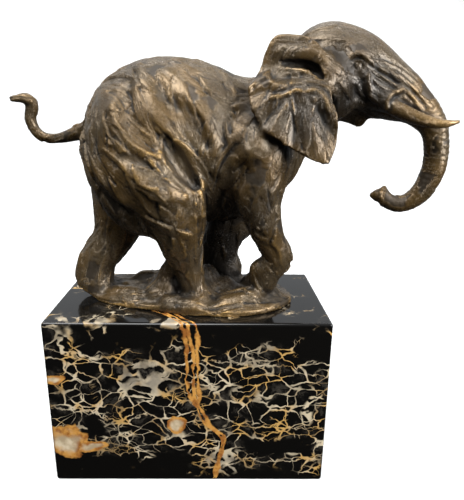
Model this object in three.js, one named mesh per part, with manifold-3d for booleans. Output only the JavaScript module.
// A cast bronze elephant in mid-stride on a rough bronze ground, on a block of black and gold marble.
// Millimetres, +Z up. The origin is the centre of the marble block's underside. +X is the way the
// elephant walks, and -Y is the side that its head turns to.
import * as THREE from "three";
import { mergeVertices } from "three/addons/utils/BufferGeometryUtils.js";
import Module from "manifold-3d";

const wasm = await Module();
wasm.setup();

// Driving dimensions.
const PLINTH_LENGTH = 180;
const PLINTH_DEPTH = 95;
const PLINTH_HEIGHT = 116;
const PLINTH_EDGE = 2; // rounding of the polished edges
const HEAD_TURN = THREE.MathUtils.degToRad(10); // the head looks a little towards -Y
const HEAD_PIVOT = 66; // x of the upright axis that the head turns about
const NEAR = -1; // sign of y on the side that the head turns to
const FAR = 1;

// How finely the figure is skinned, and how many triangles the finished skin keeps.
const CELL = 1.8;
const FIGURE_TRIANGLES = 9000;
const FIGURE_BOX = { low: [-116, -56, -5], high: [172, 56, 184] };
const OUT_OF_REACH = 18; // beyond this distance from its box, a form is not measured exactly

// Landmarks. Each row is [x, y, z, r]: a point on a form's middle line, with z its height above the
// marble, and the form's half-thickness there. Rows on the head are taken before it turns.
const TORSO = [
  [-33, 0, 109, 34.5], // rump
  [-18, 0, 108, 48], // loin
  [3, 0, 106.5, 47.5], // ribs
  [22, 0, 101.5, 40.3], // withers
  [38, 0, 102.5, 35.5], // shoulder
  [46, 0, 107, 24], // chest
];
const BELLY = [
  [-8, 0, 76, 18],
  [10, 0, 72, 17],
  [28, 0, 75, 17],
];
const NECK = [
  [46, 0, 114, 25.5],
  [64, 0, 128, 25],
  [79, 0, 140, 24],
];
const SKULL = [
  [87, 0, 150.5, 26.5], // crown
  [97, 0, 148, 25.5], // brow
  [108, 0, 144.5, 21.8], // forehead
  [118, 0, 140, 18], // root of the trunk
  [127, 0, 135.5, 15],
];
const TRUNK = [
  [118, 0, 139.5, 16],
  [132, 0, 133.6, 12.8],
  [141.6, 0, 127, 10.6],
  [150.8, 0, 117.2, 8.2],
  [154.6, 0, 104.5, 7.4],
  [154.6, 0, 92, 6.9],
  [149.8, 0, 78, 6.4],
  [143, 0, 70.7, 5.6],
  [135.7, 0, 68.1, 5.2],
  [129, 0, 70.2, 4.9],
  [124, 0, 73.6, 4.4], // tip
];
const TRUNK_LIP = [
  [124, 0, 72.6, 3.4],
  [120, 0, 73.4, 2.2],
];
const TRUNK_FINGER = [
  [127, 0, 73, 3.6],
  [126.2, 0, 78.4, 1.8],
];
const JAW = [
  [88, 0, 134, 13],
  [99, 0, 127.5, 8.5],
  [106.5, 0, 121.2, 4.8], // lower lip
];
const CHEEK = [
  [90, 15, 148, 9],
  [97, 13.5, 136, 9],
];
const CHEEKBONE = [
  [84, 25, 149, 2.5],
  [90, 23.5, 147, 3],
  [96, 21.5, 146.5, 3],
  [103, 18.5, 146, 2.5],
];
const CREST = [
  [57, 29, 156, 1.6],
  [67, 28.5, 156.5, 2],
  [76, 27.2, 156, 2.5],
  [83, 25.4, 153, 2.4],
]; // the ridge over the ear's opening
const BROW = [
  [90, 17, 156, 5],
  [101, 18, 156, 4.5],
  [110, 14, 151, 4],
];
const EYE = [101.4, 19.6, 150, 2.4];
const EYE_SOCKET = [101.5, 24.5, 150, 5];
const TEMPLE = [91, 26, 160.5, 7]; // hollow above the eye
const JOWL = [97, 25, 132.5, 8.5]; // hollow behind the mouth
const TUSK_SOCKET = [
  [106, 12, 139, 8.5],
  [118.5, 13, 132, 6.2],
];
const TUSK = [
  [116, 13, 131.5, 4.4],
  [129, 16, 125.2, 4.4],
  [138, 18, 121.4, 3.8],
  [147, 19, 119, 3.1],
  [154, 19, 118.6, 2.2],
  [160, 18, 119.8, 1.1], // point
];
const FAR_TUSK_LONGER = 6;
const TAIL = [
  [-54, 0, 113, 8], // root
  [-68, 1, 112, 5.4],
  [-83, 2, 108, 3.4],
  [-93.4, 4, 107.8, 3.2],
  [-100.4, 5, 112.5, 3.4],
  [-103, 5, 120, 3.7],
  [-101, 5, 128.5, 3.9],
  [-103.5, 3, 132.2, 3.4],
  [-112, 1, 132.2, 1.6], // tuft
];
const NEAR_HIND_LEG = [
  [-34, -16, 111, 26], // hip
  [-29, -22, 93, 25],
  [-15, -28, 76, 20], // thigh
  [-6, -28, 58, 15.8], // knee
  [-4, -24, 42, 12.6], // shin
  [-1.5, -21, 30.4, 9.8],
  [2, -19, 17, 8.8], // ankle
  [5, -19, 9, 8.4], // foot
];
const NEAR_THIGH_BACK = [
  [-53, -12, 102, 14.5],
  [-45.5, -20, 82, 14.2],
  [-34, -22, 66, 14],
  [-20, -20, 56, 10],
];
const NEAR_KNEECAP = [
  [-6, -34, 82, 7],
  [3, -34, 73, 7],
  [5, -30, 60, 6],
];
const NEAR_HIND_TOES = [
  [8, -25, 7, 5.5],
  [12, -18, 7, 5],
];
const FAR_HIND_LEG = [
  [-36, 15, 108, 28], // hip
  [-45, 16, 84, 23],
  [-47, 14, 62, 20.5], // thigh
  [-54, 10, 41, 14.5], // shin
  [-65, 6, 24, 12.6],
  [-67.5, 4, 13, 12.6], // ankle
  [-67.5, 3, 8, 12.6], // foot
];
const FAR_HEEL = [
  [-71, 7, 24, 7],
  [-74, 5, 15, 6.5],
];
const NEAR_FORELEG = [
  [43, -17, 104, 22.5], // shoulder
  [43, -23, 88, 17.5],
  [43.5, -26, 73, 13.5], // elbow
  [47.8, -26, 57, 10.8], // forearm
  [52, -24, 46.5, 9.4],
  [57.3, -21, 35, 9.4], // wrist
  [52, -18, 25, 8.8],
  [49.6, -16, 17.5, 9], // foot
];
const NEAR_FORE_PADS = [
  [45, -20, 26, 5.5],
  [46, -17, 20, 6],
];
const FAR_FORELEG = [
  [40, 15, 98, 18], // shoulder
  [48.5, 20, 74, 16.5],
  [36, 22, 57, 17], // elbow
  [22.5, 22, 40, 15.5],
  [19.5, 22, 24, 14],
  [24, 22, 13, 13], // foot
];

// Folds of the hide, drawn on the flank as [x, z] and then laid on the surface of the body.
const BODY_RIDGES = [
  [[-27, 149], [-25, 138], [-21.5, 127.5], [-12, 115], [-6, 102], [0, 93], [7, 84]], // hip to flank
  [[38.3, 119.5], [32.4, 111], [25, 100.6], [19.2, 91.4]], // behind the shoulder
  [[43, 113], [37, 103], [30, 95]],
  [[3, 126], [9, 117], [14, 104], [17, 93]], // along the ribs
];
const BODY_GROOVES = [
  [[-14.4, 140], [-9, 131], [-1, 127], [6, 117], [11, 106]], // along the ribs
  [[38, 95], [32, 91], [30, 84]], // under the shoulder blade
  [[-34, 139], [-33, 127], [-27, 115], [-18, 105]], // hollow of the hip
];
const THIGH_RIDGES = [
  [[-40, 125], [-34, 113.5], [-21.5, 102.5], [-8, 95], [4, 81.5], [7.5, 66]],
  [[-33, 92.5], [-22, 84], [-12, 78], [-3, 77]],
  [[-55, 112], [-52, 98], [-46, 86], [-36, 76]],
];
const THIGH_GROOVES = [
  [[-11, 109], [-5, 99], [5, 83]], // between the thigh and the belly
];
const FOLD_WIDTH = 6;
const FOLD_HEIGHT = 2;

// The ears. Corners of the outline as [x, z] before the head turns, counted from the crown backwards.
const EAR_OUTLINE = [
  [80, 163],
  [66, 168.5],
  [54, 167],
  [47.5, 157.5],
  [44.5, 147],
  [39.5, 138],
  [42, 125],
  [50, 113.5],
  [66, 102.5],
  [88.5, 94.5],
  [93, 103],
  [94, 120],
  [90.5, 133],
  [86, 146],
];
const EAR_THICKNESS = 4.6;
const EAR_ROOT = { x: 84, y: 24, z: 150 }; // where the ear leaves the head
const EAR_BACKWARD_FLARE = 0.16; // how far it stands off per millimetre towards its back edge
const EAR_DOWNWARD_FLARE = 0.3; // and per millimetre below its root
const EAR_FOLD = [
  [40, 136],
  [46, 141],
  [52, 145],
  [55, 141],
  [62, 140.2],
  [73, 141],
  [82, 139.8],
  [88, 136],
  [92, 127],
]; // the hanging flap's upper edge
const EAR_FOLD_STEP = 5; // how far the flap stands out there
const EAR_FOLD_LENGTH = 24; // how quickly that dies out downwards
const EAR_PLEATS = { x: 68, z: 142, count: 5, depth: 2 }; // folds that fan out over the flap
const EAR_HOLLOW = [
  [60, 151.4, 1.6],
  [66, 150.8, 2.5],
  [72, 149.6, 3.6],
  [77.5, 147.2, 4.6],
  [81, 143, 3.8],
]; // the ear's opening as [x, z, r]
const EAR_HOLLOW_SINK = 0.5; // how deep it goes, as a part of its half-width
const EAR_BASE = [
  [62, 25, 149, 5],
  [74, 21, 145, 11],
  [86, 16, 142, 14],
  [90, 13, 132, 12],
]; // the flesh between the ear's opening and the head

// The bronze ground. Corners of its outline as [x, y], its height at the middle and at its rim.
const GROUND_OUTLINE = [
  [-80, 8],
  [-62, -13],
  [-18, -30],
  [33, -38],
  [60, -25],
  [69, -8],
  [58, 22],
  [20, 35],
  [-40, 34],
  [-74, 24],
];
const GROUND_HEIGHT = 9;
const GROUND_RIM = 3.4;
const GROUND_SLOPE = 17; // millimetres inward from the rim over which the ground swells up
const GROUND_WAVE = { length: 24, height: 1.4 };
const GROUND_TAIL = { x: -62, rise: 0.5 }; // the back end curls up off the marble
const UNDERCUT = 2; // the figure is skinned this far below the marble's face, then cut off flat on it
const ROCKS = [
  [[-22, -14, 6, 9], [-14, -14, 11, 8]],
  [[-34, 14, 4, 9], [-22, 16, 5, 8]],
  [[14, -8, 6, 8], [24, -2, 7, 8]],
  [[-20, -9, 8, 8], [-8, -13, 32, 6]], // the strip behind the near hind leg
  [[-50, -8, 2, 8], [-36, -15, 3, 8]],
  [[-12, -25, 3, 7], [4, -30, 3, 7]],
  [[24, -26, 3, 8], [40, -22, 5, 9]],
  [[50, -8, 5, 9], [44, 2, 7, 9]],
];

// Fields. A field gives the distance in millimetres from a point to a form's surface, negative inside it.

// Joins two distances with a fillet of about the given size.
function fillet(a, b, size) {
  const near = Math.max(size - Math.abs(a - b), 0) / size;
  return Math.min(a, b) - near * near * size * 0.25;
}

// Cuts the second form out of the first with a fillet of about the given size.
function carve(a, b, size) {
  return -fillet(-a, b, size);
}

// A box around rows of landmarks, for leaving far forms unmeasured.
function reach(rows) {
  const low = [Infinity, Infinity, Infinity];
  const high = [-Infinity, -Infinity, -Infinity];
  for (const row of rows)
    for (let i = 0; i < 3; i++) {
      low[i] = Math.min(low[i], row[i] - row[3]);
      high[i] = Math.max(high[i], row[i] + row[3]);
    }
  return (x, y, z) => {
    const dx = Math.max(low[0] - x, x - high[0], 0);
    const dy = Math.max(low[1] - y, y - high[1], 0);
    const dz = Math.max(low[2] - z, z - high[2], 0);
    return Math.hypot(dx, dy, dz);
  };
}

// A smooth fleshy tube through landmarks. Below 1, flatten narrows it across the animal.
function tube(rows, { flatten = 1, spans = 4, near = OUT_OF_REACH } = {}) {
  const line = new THREE.CatmullRomCurve3(rows.map(([x, y, z]) => new THREE.Vector3(x, y / flatten, z)));
  const girth = new THREE.SplineCurve(rows.map((row, i) => new THREE.Vector2(i, row[3])));
  const count = (rows.length - 1) * spans;
  const points = Array.from({ length: count + 1 }, (_, i) => line.getPoint(i / count));
  const radii = Array.from({ length: count + 1 }, (_, i) => girth.getPoint(i / count).y);
  const steps = points.slice(1).map((end, i) => ({
    x: points[i].x,
    y: points[i].y,
    z: points[i].z,
    r: radii[i],
    dx: end.x - points[i].x,
    dy: end.y - points[i].y,
    dz: end.z - points[i].z,
    dr: radii[i + 1] - radii[i],
    perLength: 1 / Math.max(end.distanceToSquared(points[i]), 1e-9),
  }));
  const outside = reach(rows);
  return (x, y, z) => {
    const far = outside(x, y, z);
    if (far > near) return far;
    let best = Infinity;
    for (const s of steps) {
      const px = x - s.x;
      const py = y / flatten - s.y;
      const pz = z - s.z;
      const t = Math.min(Math.max((px * s.dx + py * s.dy + pz * s.dz) * s.perLength, 0), 1);
      const d = Math.hypot(px - t * s.dx, py - t * s.dy, pz - t * s.dz) - s.r - t * s.dr;
      if (d < best) best = d;
    }
    return best;
  };
}

// A closed smooth outline through corners [u, v]: the distance to it in its plane, negative inside.
function outline(corners, points) {
  const loop = new THREE.CatmullRomCurve3(corners.map(([u, v]) => new THREE.Vector3(u, v, 0)), true);
  const dots = loop.getPoints(points).slice(0, points);
  return (u, v) => {
    let best = Infinity;
    let inside = false;
    for (let i = 0, j = points - 1; i < points; j = i++) {
      const a = dots[j];
      const b = dots[i];
      const ex = b.x - a.x;
      const ey = b.y - a.y;
      const t = Math.min(Math.max(((u - a.x) * ex + (v - a.y) * ey) / (ex * ex + ey * ey), 0), 1);
      best = Math.min(best, Math.hypot(u - a.x - t * ex, v - a.y - t * ey));
      if (a.y > v !== b.y > v && u < a.x + ((v - a.y) / ey) * ex) inside = !inside;
    }
    return inside ? -best : best;
  };
}

// The same rows on one side of the animal or the other.
const onSide = (rows, side) => rows.map(([x, y, z, r]) => [x, side * y, z, r]);

// A tusk's rows: the far one is a little longer.
function tuskRows(side) {
  const [root, point] = [TUSK[0][0], TUSK.at(-1)[0]];
  const longer = side === FAR ? FAR_TUSK_LONGER : 0;
  return TUSK.map(([x, y, z, r]) => [x + (longer * (x - root)) / (point - root), side * y, z, r]);
}

// Carries a point into the space of the unturned head.
function unturned(x, y) {
  const dx = x - HEAD_PIVOT;
  const c = Math.cos(HEAD_TURN);
  const s = Math.sin(HEAD_TURN);
  return [HEAD_PIVOT + dx * c - y * s, dx * s + y * c];
}

// A ball as a field.
const ball = ([cx, cy, cz, r]) => (x, y, z) => Math.hypot(x - cx, y - cy, z - cz) - r;

// An ear: a leaf of even thickness that stands off the head, with a hanging flap and the opening above it.
function ear(side) {
  const edge = outline(EAR_OUTLINE, 66);
  const fold = new THREE.SplineCurve(EAR_FOLD.map(([x, z]) => new THREE.Vector2(x, z))).getPoints(24);
  const foldHeight = (x) => {
    const i = fold.findIndex((p) => p.x >= x);
    if (i < 1) return i === 0 ? fold[0].y : fold.at(-1).y;
    const t = (x - fold[i - 1].x) / (fold[i].x - fold[i - 1].x);
    return THREE.MathUtils.lerp(fold[i - 1].y, fold[i].y, t);
  };
  // How far the leaf's middle stands off the mid-plane of the head.
  const standOff = (x, z) => {
    const backward = EAR_BACKWARD_FLARE * (EAR_ROOT.x - x);
    const downward = EAR_DOWNWARD_FLARE * Math.max(EAR_ROOT.z - z, 0);
    const below = foldHeight(x) - z;
    const flap = THREE.MathUtils.smoothstep(below, -2.2, 1.8) * Math.exp(-Math.max(below, 0) / EAR_FOLD_LENGTH);
    const away = Math.hypot(x - EAR_PLEATS.x, z - EAR_PLEATS.z);
    const turn = Math.atan2(EAR_PLEATS.x - x, EAR_PLEATS.z - z);
    const spread = THREE.MathUtils.smoothstep(away, 8, 30) * THREE.MathUtils.smoothstep(below, 0, 12);
    const pleat = (2 * Math.abs(Math.sin(turn * EAR_PLEATS.count)) - 1) * EAR_PLEATS.depth * spread;
    return EAR_ROOT.y + backward + downward + EAR_FOLD_STEP * flap + pleat;
  };
  // The hollow's rows lie along the leaf's outer face, sunk into it.
  const sunk = EAR_HOLLOW.map(([x, z, r]) => {
    const face = standOff(x, z) + EAR_THICKNESS / 2;
    return [x, side * (face + r * (1 - 2 * EAR_HOLLOW_SINK)), z, r];
  });
  const hollow = tube(sunk, { near: 8 });
  const base = tube(onSide(EAR_BASE, side));
  return (x, y, z) => {
    const aside = side * y;
    if (aside < 0) return OUT_OF_REACH - aside;
    const along = edge(x, z) + EAR_THICKNESS / 2;
    if (along > OUT_OF_REACH) return Math.min(along, base(x, y, z));
    const across = 0.9 * Math.abs(aside - standOff(x, z)) - EAR_THICKNESS / 2;
    const inside = Math.min(Math.max(across, along), 0);
    const leaf = inside + Math.hypot(Math.max(across, 0), Math.max(along, 0));
    return carve(fillet(leaf, base(x, y, z), 5), hollow(x, y, z), 2.5);
  };
}

// The head with its trunk, tusks and ears, before it turns.
function headField() {
  const skull = tube(SKULL, { flatten: 0.86 });
  const trunk = tube(TRUNK);
  const jaw = tube(JAW, { flatten: 0.8 });
  const lips = [tube(TRUNK_LIP), tube(TRUNK_FINGER)];
  const sides = [NEAR, FAR].map((side) => ({
    flesh: [CHEEK, CHEEKBONE, BROW, TUSK_SOCKET].map((rows) => tube(onSide(rows, side))),
    crest: tube(onSide(CREST, side)),
    hollows: onSide([EYE_SOCKET, TEMPLE, JOWL], side).map(ball),
    eye: ball(onSide([EYE], side)[0]),
    tusk: tube(tuskRows(side)),
    ear: ear(side),
  }));
  return (x, y, z) => {
    let d = fillet(skull(x, y, z), trunk(x, y, z), 5);
    d = fillet(d, jaw(x, y, z), 4);
    for (const lip of lips) d = fillet(d, lip(x, y, z), 2);
    for (const s of sides) {
      for (const flesh of s.flesh) d = fillet(d, flesh(x, y, z), 4);
      for (const hollow of s.hollows) d = carve(d, hollow(x, y, z), 3);
      d = fillet(d, s.eye(x, y, z), 1);
      d = fillet(d, s.ear(x, y, z), 3);
      d = fillet(d, s.crest(x, y, z), 5);
      d = fillet(d, s.tusk(x, y, z), 0.8);
    }
    return d;
  };
}

// The ground: a slab with a thin rim that swells towards the middle, with a few stones in it.
function groundField() {
  const edge = outline(GROUND_OUTLINE, 60);
  const stones = ROCKS.map((rows) => tube(rows));
  const wave = (2 * Math.PI) / GROUND_WAVE.length;
  return (x, y, z) => {
    if (z > 50) return z - 30;
    const inward = -edge(x, y);
    const swell = 1 - Math.exp(-Math.max(inward, 0) / GROUND_SLOPE);
    const lengthwise = Math.sin(wave * x + 2 * Math.sin(wave * y));
    const crosswise = Math.sin(2 * wave * y + 1.5 * Math.sin(1.3 * wave * x));
    const ripple = GROUND_WAVE.height * (lengthwise + 0.7 * crosswise) * swell;
    const top = GROUND_RIM + (GROUND_HEIGHT - GROUND_RIM) * swell + ripple;
    let d = Math.max(z - top, -inward);
    for (const stone of stones) d = fillet(d, stone(x, y, z), 4);
    return d;
  };
}

// A fold line laid on a body: for each [x, z] the surface is found by stepping inwards from one side.
function drape(line, body, side, lift) {
  return line.map(([x, z], i) => {
    let y = side * 60;
    for (let step = 0; step < 40; step++) y -= side * Math.max(body(x, y, z), 0) * 0.8;
    const size = i === 0 || i === line.length - 1 ? 0.5 : 1; // folds die away at their ends
    return [x, y + side * lift * size, z, FOLD_WIDTH * size];
  });
}

// The body with the folds of its hide.
function bodyField() {
  const torso = tube(TORSO, { flatten: 0.78, spans: 6 });
  const belly = tube(BELLY);
  const neck = tube(NECK, { flatten: 0.78 });
  const limbs = [FAR_HIND_LEG, FAR_FORELEG, NEAR_HIND_LEG, NEAR_FORELEG].map((rows) => tube(rows));
  const swellings = [NEAR_THIGH_BACK, NEAR_KNEECAP, NEAR_HIND_TOES, FAR_HEEL, NEAR_FORE_PADS];
  const bumps = swellings.map((rows) => tube(rows));
  const tail = tube(TAIL);
  const smooth = (x, y, z) => {
    let d = fillet(torso(x, y, z), belly(x, y, z), 12);
    d = fillet(d, neck(x, y, z), 14);
    for (const limb of limbs) d = fillet(d, limb(x, y, z), 6);
    for (const bump of bumps) d = fillet(d, bump(x, y, z), 5);
    return fillet(d, tail(x, y, z), 4);
  };
  const sunk = FOLD_HEIGHT - FOLD_WIDTH;
  const lay = (lines, side, lift) =>
    lines.map((line) => tube(drape(line, smooth, side, lift), { near: 6 }));
  const ridges = [
    ...lay([...BODY_RIDGES, ...THIGH_RIDGES], NEAR, sunk),
    ...lay(BODY_RIDGES, FAR, sunk),
  ];
  const grooves = [
    ...lay([...BODY_GROOVES, ...THIGH_GROOVES], NEAR, -sunk),
    ...lay(BODY_GROOVES, FAR, -sunk),
  ];
  return (x, y, z) => {
    let d = smooth(x, y, z);
    if (d > OUT_OF_REACH || z < 60) return d;
    for (const ridge of ridges) d = fillet(d, ridge(x, y, z), 4);
    for (const groove of grooves) d = carve(d, groove(x, y, z), 3);
    return d;
  };
}

// The whole cast figure.
function figureField() {
  const body = bodyField();
  const head = headField();
  const ground = groundField();
  return (x, y, z) => {
    const [hx, hy] = unturned(x, y);
    let d = fillet(body(x, y, z), head(hx, hy, z), 5);
    d = fillet(d, ground(x, y, z), 4);
    const underside = GROUND_TAIL.rise * Math.max(GROUND_TAIL.x - x, 0) - UNDERCUT;
    return Math.max(d, z < 20 ? underside - z : -Infinity);
  };
}

// Skinning. The space is cut into small cubes, each cube into six tetrahedra, and the skin crosses those.
const TETRAHEDRA = [
  [0, 1, 3, 7],
  [0, 3, 2, 7],
  [0, 2, 6, 7],
  [0, 6, 4, 7],
  [0, 4, 5, 7],
  [0, 5, 1, 7],
];

function skin(field, { low, high }, cell) {
  const [nx, ny, nz] = low.map((v, i) => Math.ceil((high[i] - v) / cell) + 1);
  const corner = (i) => {
    const ix = i % nx;
    const iy = Math.floor(i / nx) % ny;
    const iz = Math.floor(i / (nx * ny));
    return [low[0] + ix * cell, low[1] + iy * cell, low[2] + iz * cell];
  };
  const depth = new Float32Array(nx * ny * nz);
  for (let i = 0; i < depth.length; i++) depth[i] = field(...corner(i)) || 1e-6;
  const offset = (bits) => (bits & 1) + (bits & 2 ? nx : 0) + (bits & 4 ? nx * ny : 0);
  const points = [];
  const faces = [];
  const crossings = new Map();
  // The skin's point on the edge between two grid corners, on opposite sides of the skin.
  const crossing = (a, b) => {
    const key = a < b ? a * depth.length + b : b * depth.length + a;
    if (!crossings.has(key)) {
      const t = Math.min(Math.max(depth[a] / (depth[a] - depth[b]), 0.02), 0.98);
      const pa = corner(a);
      const pb = corner(b);
      crossings.set(key, points.length);
      points.push(pa.map((v, i) => v + t * (pb[i] - v)));
    }
    return crossings.get(key);
  };
  const middle = (corners) => {
    const sum = new THREE.Vector3();
    for (const c of corners) sum.add(new THREE.Vector3(...corner(c)));
    return sum.divideScalar(corners.length).toArray();
  };
  const addFace = (a, b, c, outward) => {
    const n = normalOf(points[a], points[b], points[c]);
    const facesOut = n[0] * outward[0] + n[1] * outward[1] + n[2] * outward[2] > 0;
    faces.push(facesOut ? [a, b, c] : [a, c, b]);
  };
  for (let iz = 0; iz < nz - 1; iz++)
    for (let iy = 0; iy < ny - 1; iy++)
      for (let ix = 0; ix < nx - 1; ix++) {
        const first = ix + nx * (iy + ny * iz);
        let within = 0;
        for (let bits = 0; bits < 8; bits++) within += depth[first + offset(bits)] < 0 ? 1 : 0;
        if (within === 0 || within === 8) continue;
        for (const bits of TETRAHEDRA) {
          const corners = bits.map((b) => first + offset(b));
          const inner = corners.filter((c) => depth[c] < 0);
          const outer = corners.filter((c) => depth[c] >= 0);
          if (!inner.length || !outer.length) continue;
          const from = middle(inner);
          const outward = middle(outer).map((v, i) => v - from[i]);
          if (inner.length === 2) {
            const [a, b] = inner;
            const [c, d] = outer;
            const ring = [crossing(a, c), crossing(a, d), crossing(b, d), crossing(b, c)];
            addFace(ring[0], ring[1], ring[2], outward);
            addFace(ring[0], ring[2], ring[3], outward);
          } else {
            const [lone, others] = inner.length === 1 ? [inner[0], outer] : [outer[0], inner];
            addFace(...others.map((c) => crossing(lone, c)), outward);
          }
        }
      }
  return { points, faces };
}

function normalOf(a, b, c) {
  const u = [b[0] - a[0], b[1] - a[1], b[2] - a[2]];
  const v = [c[0] - a[0], c[1] - a[1], c[2] - a[2]];
  return [u[1] * v[2] - u[2] * v[1], u[2] * v[0] - u[0] * v[2], u[0] * v[1] - u[1] * v[0]];
}

// Thinning. The edge whose loss moves the skin least is drawn together to a point, again and again,
// so that flat places end up with few triangles, and edges and hollows with many.

// A vertex's quadric sums the squared distances to the planes of its faces, as ten coefficients.
function addPlane(quadric, n, offset, weight) {
  const plane = [n[0], n[1], n[2], offset];
  let k = 0;
  for (let i = 0; i < 4; i++) for (let j = i; j < 4; j++) quadric[k++] += weight * plane[i] * plane[j];
}

function quadricError(q, [x, y, z]) {
  return (
    q[0] * x * x + q[4] * y * y + q[7] * z * z + q[9] +
    2 * (q[1] * x * y + q[2] * x * z + q[3] * x + q[5] * y * z + q[6] * y + q[8] * z)
  );
}

// The point of least error, or null where the planes don't fix one.
function quadricPoint(q) {
  const m = new THREE.Matrix3().set(q[0], q[1], q[2], q[1], q[4], q[5], q[2], q[5], q[7]);
  const size = q[0] + q[4] + q[7];
  if (Math.abs(m.determinant()) < 1e-4 * size * size * size) return null;
  const p = new THREE.Vector3(-q[3], -q[6], -q[8]).applyMatrix3(m.invert());
  return [p.x, p.y, p.z];
}

// A queue that gives back its cheapest entry first.
class Queue {
  entries = [];
  push(entry) {
    const e = this.entries;
    let i = e.push(entry) - 1;
    while (i > 0) {
      const up = (i - 1) >> 1;
      if (e[up].cost <= e[i].cost) break;
      [e[up], e[i]] = [e[i], e[up]];
      i = up;
    }
  }
  pop() {
    const e = this.entries;
    const top = e[0];
    const last = e.pop();
    if (!e.length) return top;
    e[0] = last;
    for (let i = 0; ; ) {
      let least = i;
      for (const child of [2 * i + 1, 2 * i + 2])
        if (child < e.length && e[child].cost < e[least].cost) least = child;
      if (least === i) return top;
      [e[least], e[i]] = [e[i], e[least]];
      i = least;
    }
  }
}

function thin({ points, faces }, wanted) {
  const quadrics = points.map(() => new Float64Array(10));
  const around = points.map(() => new Set()); // faces at each vertex
  faces.forEach((face, f) => {
    const n = normalOf(...face.map((v) => points[v]));
    const size = Math.hypot(...n) || 1e-12;
    const unit = n.map((v) => v / size);
    const p = points[face[0]];
    const offset = -(unit[0] * p[0] + unit[1] * p[1] + unit[2] * p[2]);
    for (const v of face) {
      addPlane(quadrics[v], unit, offset, size / 2);
      around[v].add(f);
    }
  });
  const version = new Uint32Array(points.length);
  const queue = new Queue();
  const neighbours = (v) => {
    const found = new Set();
    for (const f of around[v]) for (const w of faces[f]) if (w !== v) found.add(w);
    return found;
  };
  const offer = (a, b) => {
    const q = quadrics[a].map((v, i) => v + quadrics[b][i]);
    const length = Math.hypot(...points[a].map((v, i) => v - points[b][i]));
    const half = points[a].map((v, i) => (v + points[b][i]) / 2);
    const best = quadricPoint(q);
    const strays = best && Math.hypot(...best.map((v, i) => v - half[i])) > 2 * length;
    const point = best && !strays ? best : half;
    const cost = Math.max(quadricError(q, point), 0) + 1e-4 * length ** 3;
    queue.push({ a, b, cost, point, versions: version[a] + version[b] });
  };
  // Whether moving vertex v to the point would turn over or squeeze flat a face that lacks vertex other.
  const folds = (v, other, point) => {
    for (const f of around[v]) {
      if (faces[f].includes(other)) continue;
      const before = normalOf(...faces[f].map((w) => points[w]));
      const after = normalOf(...faces[f].map((w) => (w === v ? point : points[w])));
      const dot = before[0] * after[0] + before[1] * after[1] + before[2] * after[2];
      const [sizeBefore, sizeAfter] = [Math.hypot(...before), Math.hypot(...after)];
      if (sizeAfter < 1e-3 || dot < 0.25 * sizeBefore * sizeAfter) return true;
    }
    return false;
  };
  points.forEach((_, a) => neighbours(a).forEach((b) => a < b && offer(a, b)));
  const alive = new Uint8Array(points.length).fill(1);
  for (let left = faces.length; left > wanted && queue.entries.length; ) {
    const { a, b, point, versions } = queue.pop();
    if (!alive[a] || !alive[b] || versions !== version[a] + version[b]) continue;
    const ringB = neighbours(b);
    const shared = [...neighbours(a)].filter((v) => ringB.has(v)).length;
    if (shared !== 2 || folds(a, b, point) || folds(b, a, point)) continue;
    points[a] = point;
    quadrics[b].forEach((v, i) => (quadrics[a][i] += v));
    for (const f of around[b])
      if (faces[f].includes(a)) {
        for (const v of faces[f]) around[v].delete(f);
        faces[f] = null;
        left -= 1;
      } else {
        faces[f] = faces[f].map((v) => (v === b ? a : v));
        around[a].add(f);
      }
    alive[b] = 0;
    version[a] += 1;
    for (const v of neighbours(a)) offer(a, v);
  }
  return { points, faces: faces.filter(Boolean) };
}

// Evens out a skin's triangles: each vertex moves towards its neighbours' middle, then onto the surface.
function relax({ points, faces }, field, rounds) {
  const ring = points.map(() => new Set());
  for (const face of faces) for (const v of face) for (const w of face) if (w !== v) ring[v].add(w);
  const gap = 0.05;
  for (let round = 0; round < rounds; round++) {
    const moved = points.map((p, v) => {
      if (!ring[v].size) return p;
      const q = [0, 1, 2].map((i) => {
        let sum = 0;
        for (const w of ring[v]) sum += points[w][i];
        return 0.5 * p[i] + (0.5 * sum) / ring[v].size;
      });
      const d = field(q[0], q[1], q[2]);
      const slope = [0, 1, 2].map((i) => (field(...q.map((c, j) => (i === j ? c + gap : c))) - d) / gap);
      const size = slope[0] ** 2 + slope[1] ** 2 + slope[2] ** 2;
      return size < 0.04 ? p : q.map((c, i) => c - (d * slope[i]) / Math.max(size, 0.3));
    });
    moved.forEach((p, v) => (points[v] = p));
  }
  return { points, faces };
}

// Solids.
function solidOf(geometry) {
  const bare = geometry.clone();
  bare.deleteAttribute("normal");
  bare.deleteAttribute("uv");
  const merged = mergeVertices(bare, 1e-6);
  return new wasm.Manifold(
    new wasm.Mesh({
      numProp: 3,
      vertProperties: merged.attributes.position.array,
      triVerts: new Uint32Array(merged.index.array),
    }),
  );
}

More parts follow.
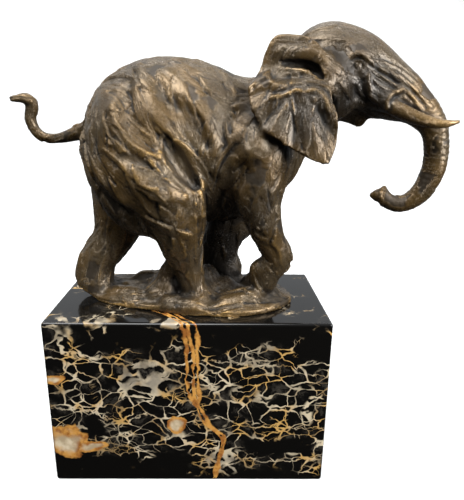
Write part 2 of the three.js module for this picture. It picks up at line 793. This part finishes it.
function geometryOf(solid) {
  const mesh = solid.getMesh();
  const geometry = new THREE.BufferGeometry();
  geometry.setAttribute("position", new THREE.BufferAttribute(mesh.vertProperties, 3));
  geometry.setIndex(new THREE.BufferAttribute(mesh.triVerts, 1));
  geometry.computeVertexNormals();
  return geometry;
}

// The skin as a geometry of its own, with only the vertices that its faces use.
function skinGeometry({ points, faces }) {
  const used = [...new Set(faces.flat())];
  const place = new Map(used.map((v, i) => [v, i]));
  const geometry = new THREE.BufferGeometry();
  geometry.setAttribute("position", new THREE.Float32BufferAttribute(used.flatMap((v) => points[v]), 3));
  geometry.setIndex(faces.flatMap((face) => face.map((v) => place.get(v))));
  return geometry;
}

// Pieces.
function bronzeElephant() {
  const field = figureField();
  const fine = relax(skin(field, FIGURE_BOX, CELL), field, 2);
  const rough = skinGeometry(relax(thin(fine, FIGURE_TRIANGLES), field, 1));
  const room = new THREE.BoxGeometry(400, 200, 300).translate(0, 0, 150); // everything above the marble
  const material = new THREE.MeshStandardMaterial({ color: 0x6b5a3c, roughness: 0.42, metalness: 0.85 });
  const mesh = new THREE.Mesh(geometryOf(solidOf(rough).intersect(solidOf(room))), material);
  mesh.name = "bronze_elephant";
  mesh.position.z = PLINTH_HEIGHT;
  return mesh;
}

function marblePlinth() {
  const half = { x: PLINTH_LENGTH / 2 - PLINTH_EDGE, y: PLINTH_DEPTH / 2 - PLINTH_EDGE };
  const face = new THREE.Shape([
    new THREE.Vector2(-half.x, -half.y),
    new THREE.Vector2(half.x, -half.y),
    new THREE.Vector2(half.x, half.y),
    new THREE.Vector2(-half.x, half.y),
  ]);
  const geometry = new THREE.ExtrudeGeometry(face, {
    depth: PLINTH_HEIGHT - 2 * PLINTH_EDGE,
    bevelThickness: PLINTH_EDGE,
    bevelSize: PLINTH_EDGE,
    bevelSegments: 3,
  });
  geometry.translate(0, 0, PLINTH_EDGE);
  const material = new THREE.MeshStandardMaterial({ color: 0x16130f, roughness: 0.12, metalness: 0 });
  const mesh = new THREE.Mesh(geometry, material);
  mesh.name = "marble_plinth";
  return mesh;
}

const sculpture = new THREE.Group();
sculpture.add(marblePlinth(), bronzeElephant());

export default sculpture;
